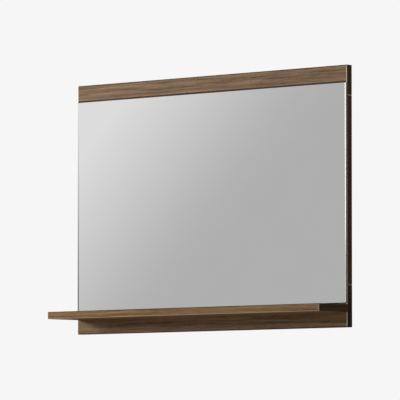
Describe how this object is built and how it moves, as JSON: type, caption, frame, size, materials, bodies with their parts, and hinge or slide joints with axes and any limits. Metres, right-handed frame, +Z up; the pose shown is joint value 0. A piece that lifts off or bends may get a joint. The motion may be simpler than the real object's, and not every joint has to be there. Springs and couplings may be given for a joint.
{
  "type": "mirror with shelf",
  "caption": "Landscape wall mirror on a walnut-decor board frame, with a shallow shelf across its full width below the glass.",
  "frame": {"origin": "midway between the centres of the two keyhole entry holes, in the plane of the frame's back", "axes": "+X to the right of someone facing the mirror, +Y back towards the wall, +Z up"},
  "size_m": [0.804, 0.11, 0.55],
  "materials": {
    "walnut_decor_board": "horizontal walnut grain decor, satin",
    "walnut_edge_band": "printed walnut edge band, satin, eased arrises",
    "beech": "turned beech, unfinished",
    "silvered_glass": "float glass silvered on the back, polished edge",
    "foam_tape": "white closed-cell foam",
    "zinc_plated_steel": "bright zinc plate",
    "clear_rubber": "clear self-adhesive polyurethane"
  },
  "bodies": {
    "root": {"top_rail": "walnut_decor_board", "bottom_rail": "walnut_decor_board", "left_stile": "walnut_decor_board", "right_stile": "walnut_decor_board", "top_rail_top_band": "walnut_edge_band", "top_rail_left_band": "walnut_edge_band", "top_rail_right_band": "walnut_edge_band", "bottom_rail_bottom_band": "walnut_edge_band", "bottom_rail_left_band": "walnut_edge_band", "bottom_rail_right_band": "walnut_edge_band", "left_stile_band": "walnut_edge_band", "right_stile_band": "walnut_edge_band", "top_left_dowels": "beech", "top_right_dowels": "beech", "bottom_left_dowels": "beech", "bottom_right_dowels": "beech", "shelf_board": "walnut_decor_board", "shelf_front_band": "walnut_edge_band", "shelf_left_band": "walnut_edge_band", "shelf_right_band": "walnut_edge_band", "shelf_dowels": "beech", "shelf_screws": "zinc_plated_steel", "mirror_glass": "silvered_glass", "top_tape": "foam_tape", "bottom_tape": "foam_tape", "left_tape": "foam_tape", "right_tape": "foam_tape", "left_keyhole_plate": "zinc_plated_steel", "right_keyhole_plate": "zinc_plated_steel", "plate_screws": "zinc_plated_steel", "top_left_bumper": "clear_rubber", "top_right_bumper": "clear_rubber", "bottom_left_bumper": "clear_rubber", "bottom_right_bumper": "clear_rubber"}
  },
  "joints": []
}
